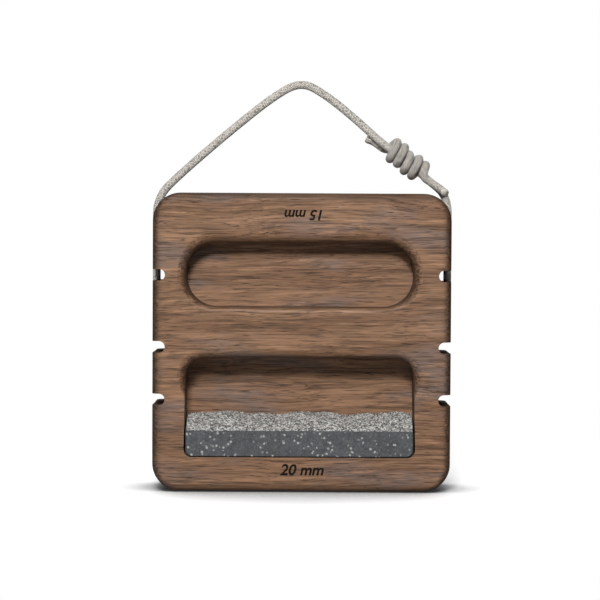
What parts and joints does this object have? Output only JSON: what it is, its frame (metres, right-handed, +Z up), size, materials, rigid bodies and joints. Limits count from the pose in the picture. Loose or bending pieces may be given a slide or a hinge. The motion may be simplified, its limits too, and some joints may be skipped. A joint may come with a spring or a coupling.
{
  "type": "hangboard",
  "caption": "Small hanging block of dark wood with finger pockets, a stone edge set in the lower one, notched sides and a knotted cord loop.",
  "frame": {"origin": "where a hook carries the cord loop: the highest point of the inside of its top bend", "axes": "+Z up towards the hook, -Y out of the pockets towards the climber, +X to the climber's right"},
  "size_m": [0.1524, 0.04, 0.2069],
  "materials": {
    "wood": "open-pored dark heat-treated hardwood, unvarnished",
    "stone": "sawn front, split top",
    "adhesive": "cured, matte",
    "cord": "pale braided sheath with darker flecks"
  },
  "bodies": {
    "loop": {"cord_loop": "cord", "cord_bend_left": "cord", "cord_bend_right": "cord", "knot_wrap_lower": "cord", "knot_wrap_upper": "cord", "cord_tail_lower": "cord", "cord_tail_upper": "cord"},
    "board": {"wood_body": "wood", "stone_edge": "stone", "stone_adhesive": "adhesive", "cord_held": "cord"}
  },
  "joints": [
    {"name": "board_tip", "type": "hinge", "parent": "loop", "child": "board", "pos_m": [0, 0, -0.0559], "axis": [1, 0, 0], "range_deg": [-30, 30], "deforming": ["cord_bend_left", "cord_bend_right"]}
  ]
}
